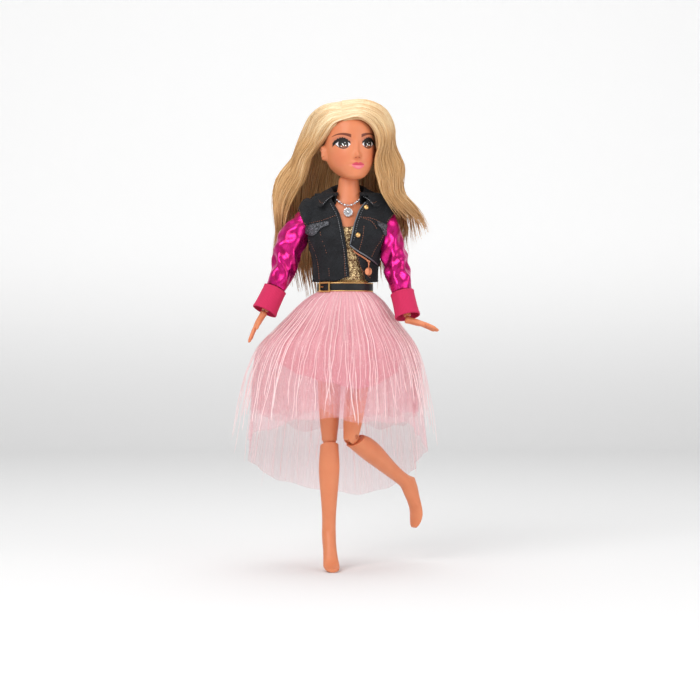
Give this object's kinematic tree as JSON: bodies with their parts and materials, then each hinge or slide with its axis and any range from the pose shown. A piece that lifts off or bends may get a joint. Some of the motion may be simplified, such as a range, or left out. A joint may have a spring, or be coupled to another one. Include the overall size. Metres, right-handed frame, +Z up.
{
  "type": "fashion doll",
  "caption": "Jointed fashion doll with long blonde hair, cropped denim jacket with metallic sleeves, belt and layered tulle skirt with a longer back.",
  "frame": {"origin": "middle of the waist, at the mid height of the belt and on the trunk's axis", "axes": "+Z up along the standing doll, -Y the way the doll's body faces, +X to the doll's left"},
  "size_m": [0.122, 0.0999, 0.2926],
  "materials": {
    "skin_vinyl": "matte soft vinyl",
    "joint_nylon": "satin",
    "blonde_hair": "rooted fibre",
    "black_denim": "woven twill",
    "grey_glitter": "glitter",
    "magenta_foil": "metallic satin",
    "crimson_knit": "matte",
    "gold_glitter": "glitter",
    "black_belt": "satin imitation leather",
    "gold_plate": "bright",
    "copper_plate": "bright",
    "silver_plate": "bright",
    "pink_satin": "satin",
    "pink_tulle": "sheer net"
  },
  "bodies": {
    "torso": {"torso_front_shell": "skin_vinyl", "torso_rear_shell": "skin_vinyl", "neck_post": "skin_vinyl", "glitter_top": "gold_glitter", "jacket_back": "black_denim", "jacket_front_right": "black_denim", "jacket_front_left": "black_denim", "jacket_underlap": "black_denim", "jacket_collar": "black_denim", "pocket_flap_right": "grey_glitter", "pocket_flap_left": "grey_glitter", "jacket_button_1": "gold_plate", "jacket_button_2": "gold_plate", "jacket_zip": "copper_plate", "zip_puller": "copper_plate", "belt": "black_belt", "belt_buckle": "gold_plate", "skirt_waistband": "pink_satin", "skirt_lining_left": "pink_satin", "skirt_lining_right": "pink_satin", "skirt_tulle_left": "pink_tulle", "skirt_tulle_right": "pink_tulle", "necklace": "silver_plate", "pendant": "silver_plate"},
    "neck_ball": {"neck_ball": "skin_vinyl"},
    "head": {"head_shell": "skin_vinyl", "hair_crown": "blonde_hair", "hair_back": "blonde_hair", "hair_lock_left": "blonde_hair", "hair_lock_right": "blonde_hair"},
    "shoulder_peg_left": {"shoulder_peg_left": "joint_nylon"},
    "upper_arm_left": {"upper_arm_left": "skin_vinyl", "elbow_pin_left": "joint_nylon", "sleeve_upper_left": "magenta_foil"},
    "forearm_left": {"forearm_left": "skin_vinyl", "sleeve_lower_left": "magenta_foil", "cuff_left": "crimson_knit"},
    "wrist_peg_left": {"wrist_peg_left": "joint_nylon"},
    "hand_left": {"hand_left": "skin_vinyl"},
    "hip_peg_left": {"hip_peg_left": "joint_nylon"},
    "hip_cap_left": {"hip_cap_left": "skin_vinyl"},
    "thigh_left": {"thigh_left": "skin_vinyl", "knee_pin_left": "joint_nylon"},
    "shin_left": {"shin_left": "skin_vinyl"},
    "shoulder_peg_right": {"shoulder_peg_right": "joint_nylon"},
    "upper_arm_right": {"upper_arm_right": "skin_vinyl", "elbow_pin_right": "joint_nylon", "sleeve_upper_right": "magenta_foil"},
    "forearm_right": {"forearm_right": "skin_vinyl", "sleeve_lower_right": "magenta_foil", "cuff_right": "crimson_knit"},
    "wrist_peg_right": {"wrist_peg_right": "joint_nylon"},
    "hand_right": {"hand_right": "skin_vinyl"},
    "hip_peg_right": {"hip_peg_right": "joint_nylon"},
    "hip_cap_right": {"hip_cap_right": "skin_vinyl"},
    "thigh_right": {"thigh_right": "skin_vinyl", "knee_pin_right": "joint_nylon"},
    "shin_right": {"shin_right": "skin_vinyl"}
  },
  "joints": [
    {"name": "head_nod", "type": "hinge", "parent": "torso", "child": "neck_ball", "pos_m": [0.0023, 0.001, 0.07], "axis": [0.9994, 0, -0.0349], "range_deg": [-16, 14], "deforming": ["hair_back", "hair_lock_left", "hair_lock_right"]},
    {"name": "head_turn", "type": "hinge", "parent": "neck_ball", "child": "head", "pos_m": [0.0023, 0.001, 0.07], "axis": [0.0349, 0, 0.9994], "range_deg": [-75, 75], "deforming": ["hair_back", "hair_lock_left", "hair_lock_right"]},
    {"name": "shoulder_swing_left", "type": "hinge", "parent": "torso", "child": "shoulder_peg_left", "pos_m": [0.0245, 0.0008, 0.046], "axis": [1, 0, 0], "range_deg": [-155, 55], "deforming": ["sleeve_upper_left", "sleeve_lower_left", "cuff_left", "skirt_lining_left", "skirt_lining_right", "skirt_tulle_left", "skirt_tulle_right", "hair_back", "hair_lock_left", "hair_lock_right", "jacket_back", "jacket_front_left", "pocket_flap_left"]},
    {"name": "shoulder_raise_left", "type": "hinge", "parent": "shoulder_peg_left", "child": "upper_arm_left", "pos_m": [0.0245, 0.0008, 0.046], "axis": [0, -0.9781, 0.2079], "range_deg": [-3, 80], "deforming": ["sleeve_upper_left", "sleeve_lower_left", "cuff_left", "skirt_lining_left", "skirt_lining_right", "skirt_tulle_left", "skirt_tulle_right", "hair_back", "hair_lock_left", "hair_lock_right", "jacket_back", "jacket_front_left", "pocket_flap_left"]},
    {"name": "elbow_left", "type": "hinge", "parent": "upper_arm_left", "child": "forearm_left", "pos_m": [0.03194, -0.00648, 0.01175], "axis": [-0.9781, -0.0432, -0.2034], "range_deg": [-4, 86], "deforming": ["sleeve_upper_left", "sleeve_lower_left", "cuff_left", "skirt_lining_left", "skirt_lining_right", "skirt_tulle_left", "skirt_tulle_right", "hair_back", "hair_lock_left", "hair_lock_right"]},
    {"name": "wrist_turn_left", "type": "hinge", "parent": "forearm_left", "child": "wrist_peg_left", "pos_m": [0.0391, -0.01583, -0.02068], "axis": [-0.2074, 0.2711, 0.9399], "range_deg": [-90, 90], "deforming": ["cuff_left", "skirt_lining_left", "skirt_lining_right", "skirt_tulle_left", "skirt_tulle_right"]},
    {"name": "wrist_bend_left", "type": "hinge", "parent": "wrist_peg_left", "child": "hand_left", "pos_m": [0.0391, -0.01583, -0.02068], "axis": [-0.0145, -0.9616, 0.2741], "range_deg": [-110, 20], "deforming": ["cuff_left", "skirt_lining_left", "skirt_lining_right", "skirt_tulle_left", "skirt_tulle_right"]},
    {"name": "hip_swing_left", "type": "hinge", "parent": "torso", "child": "hip_peg_left", "pos_m": [0.0108, 0, -0.034], "axis": [-1, 0, 0], "range_deg": [-20, 80], "deforming": ["skirt_lining_left", "skirt_lining_right", "skirt_tulle_left", "skirt_tulle_right"]},
    {"name": "hip_spread_left", "type": "hinge", "parent": "hip_peg_left", "child": "hip_cap_left", "pos_m": [0.0108, 0, -0.034], "axis": [0, -0.9848, 0.1736], "range_deg": [0, 40], "deforming": ["skirt_lining_left", "skirt_lining_right", "skirt_tulle_left", "skirt_tulle_right"]},
    {"name": "thigh_turn_left", "type": "hinge", "parent": "hip_cap_left", "child": "thigh_left", "pos_m": [0.0108, 0, -0.034], "axis": [0.1184, 0.1724, 0.9779], "range_deg": [-17, 40], "deforming": ["skirt_lining_left", "skirt_lining_right", "skirt_tulle_left", "skirt_tulle_right"]},
    {"name": "knee_left", "type": "hinge", "parent": "thigh_left", "child": "shin_left", "pos_m": [0.0037, -0.01035, -0.09267], "axis": [-0.7262, 0.6867, -0.0331], "range_deg": [-20, 70], "deforming": ["skirt_lining_left", "skirt_lining_right", "skirt_tulle_left", "skirt_tulle_right"]},
    {"name": "shoulder_swing_right", "type": "hinge", "parent": "torso", "child": "shoulder_peg_right", "pos_m": [-0.022, 0.0008, 0.046], "axis": [1, 0, 0], "range_deg": [-160, 50], "deforming": ["sleeve_upper_right", "sleeve_lower_right", "cuff_right", "skirt_lining_left", "skirt_lining_right", "skirt_tulle_left", "skirt_tulle_right", "hair_back", "hair_lock_left", "hair_lock_right", "jacket_back", "jacket_front_right", "pocket_flap_right"]},
    {"name": "shoulder_raise_right", "type": "hinge", "parent": "shoulder_peg_right", "child": "upper_arm_right", "pos_m": [-0.022, 0.0008, 0.046], "axis": [0, 0.9945, -0.1045], "range_deg": [-18, 66], "deforming": ["sleeve_upper_right", "sleeve_lower_right", "cuff_right", "skirt_lining_left", "skirt_lining_right", "skirt_tulle_left", "skirt_tulle_right", "hair_back", "hair_lock_left", "hair_lock_right", "jacket_back", "jacket_front_right", "pocket_flap_right"]},
    {"name": "elbow_right", "type": "hinge", "parent": "upper_arm_right", "child": "forearm_right", "pos_m": [-0.03673, -0.00261, 0.01355], "axis": [-0.9114, 0.043, 0.4093], "range_deg": [-6, 84], "deforming": ["sleeve_upper_right", "sleeve_lower_right", "cuff_right", "skirt_lining_left", "skirt_lining_right", "skirt_tulle_left", "skirt_tulle_right", "hair_back", "hair_lock_left", "hair_lock_right"]},
    {"name": "wrist_turn_right", "type": "hinge", "parent": "forearm_right", "child": "wrist_peg_right", "pos_m": [-0.05085, -0.00947, -0.01717], "axis": [0.4093, 0.1987, 0.8905], "range_deg": [-90, 90], "deforming": ["cuff_right", "skirt_lining_left", "skirt_lining_right", "skirt_tulle_left", "skirt_tulle_right"]},
    {"name": "wrist_bend_right", "type": "hinge", "parent": "wrist_peg_right", "child": "hand_right", "pos_m": [-0.05085, -0.00947, -0.01717], "axis": [-0.043, 0.9791, -0.1987], "range_deg": [-60, 75], "deforming": ["cuff_right", "skirt_lining_left", "skirt_lining_right", "skirt_tulle_left", "skirt_tulle_right"]},
    {"name": "hip_swing_right", "type": "hinge", "parent": "torso", "child": "hip_peg_right", "pos_m": [-0.0098, 0, -0.034], "axis": [-1, 0, 0], "range_deg": [-12, 90], "deforming": ["skirt_lining_left", "skirt_lining_right", "skirt_tulle_left", "skirt_tulle_right"]},
    {"name": "hip_spread_right", "type": "hinge", "parent": "hip_peg_right", "child": "hip_cap_right", "pos_m": [-0.0098, 0, -0.034], "axis": [0, 1, 0], "range_deg": [0, 33], "deforming": ["skirt_lining_left", "skirt_lining_right", "skirt_tulle_left", "skirt_tulle_right"]},
    {"name": "thigh_turn_right", "type": "hinge", "parent": "hip_cap_right", "child": "thigh_right", "pos_m": [-0.0098, 0, -0.034], "axis": [0, 0, -1], "range_deg": [-32, 28], "deforming": ["skirt_lining_left", "skirt_lining_right", "skirt_tulle_left", "skirt_tulle_right"]},
    {"name": "knee_right", "type": "hinge", "parent": "thigh_right", "child": "shin_right", "pos_m": [-0.0098, 0, -0.094], "axis": [-0.9903, -0.1392, 0], "range_deg": [-88, 2], "deforming": ["skirt_lining_left", "skirt_lining_right", "skirt_tulle_left", "skirt_tulle_right"]}
  ]
}
